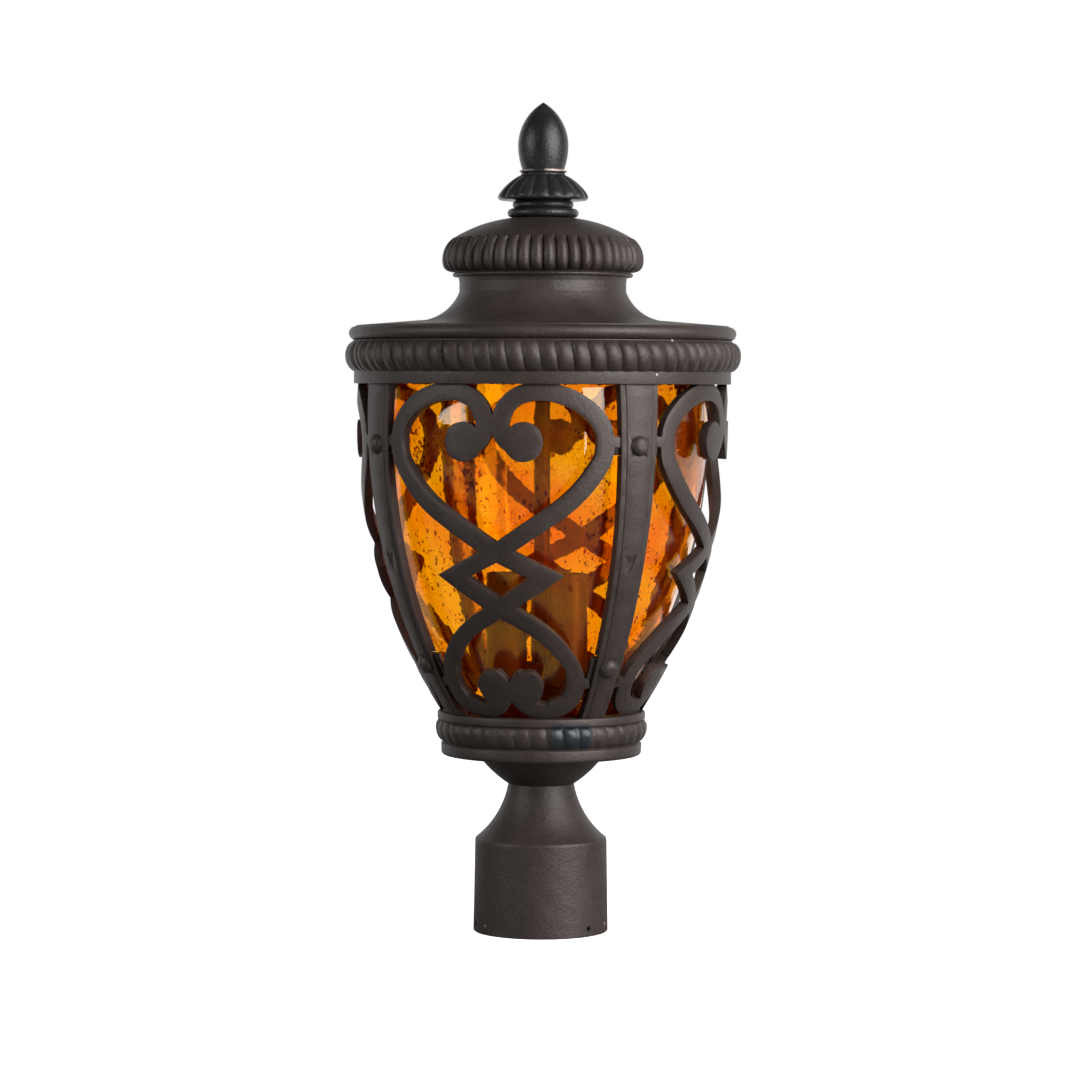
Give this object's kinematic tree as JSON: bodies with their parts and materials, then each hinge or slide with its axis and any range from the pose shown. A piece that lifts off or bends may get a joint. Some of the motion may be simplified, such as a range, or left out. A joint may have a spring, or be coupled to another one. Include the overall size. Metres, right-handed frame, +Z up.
{
  "type": "victorian street lantern",
  "caption": "Post-top street lantern: a fitter socket carries a cast scroll cage round an amber glass bowl, under a lift-off roof with a turned finial.",
  "frame": {"origin": "centre of the fitter's rim, where the lantern's bottom end is", "axes": "+Z up along the lantern's axis; the front scroll panel faces -Y, the straps stand at 45 degrees between the panels"},
  "size_m": [0.2492, 0.2492, 0.5189],
  "materials": {
    "cast_bronze": "dark bronze powder coat on a cast surface, satin, finely pitted",
    "dark_iron": "near-black satin paint, worn bright on the collar",
    "dark_steel": "blackened",
    "zinc_steel": "zinc plated",
    "brass": "plain",
    "amber_glass": "blown amber glass, full of seeds and bubbles",
    "rubber_seat": "matt",
    "lamp_holder_plastic": "brown phenolic, satin"
  },
  "bodies": {
    "lantern": {"post_fitter": "cast_bronze", "fitter_set_screws": "dark_steel", "seam_pin": "dark_steel", "base_cup": "cast_bronze", "cage_top_ring": "cast_bronze", "strap_rivets": "cast_bronze", "strap_screws": "zinc_steel", "glass_bowl": "amber_glass", "glass_gasket": "rubber_seat", "glass_rim_seal": "rubber_seat", "wire_tube": "brass", "draw_rod": "zinc_steel", "tube_coupler": "zinc_steel", "tube_nuts": "zinc_steel", "tube_washers": "zinc_steel", "lamp_cluster_plate": "zinc_steel", "lamp_contacts": "brass", "strap_front_right": "cast_bronze", "strap_back_right": "cast_bronze", "strap_back_left": "cast_bronze", "strap_front_left": "cast_bronze", "scroll_panel_front": "cast_bronze", "scroll_panel_right": "cast_bronze", "scroll_panel_back": "cast_bronze", "scroll_panel_left": "cast_bronze", "lamp_holder_1": "lamp_holder_plastic", "lamp_holder_2": "lamp_holder_plastic", "lamp_holder_3": "lamp_holder_plastic"},
    "roof_cap": {"roof": "cast_bronze", "crown": "cast_bronze"},
    "finial": {"finial_base": "dark_iron", "finial_skirt": "dark_iron", "finial_spire": "dark_iron"}
  },
  "joints": [
    {"name": "roof_lift", "type": "slide", "parent": "lantern", "child": "roof_cap", "axis": [0, 0, 1], "range_m": [0, 0.1]},
    {"name": "finial_turn", "type": "hinge", "parent": "roof_cap", "child": "finial", "pos_m": [0, 0, 0.46], "axis": [0, 0, 1], "continuous": true}
  ]
}
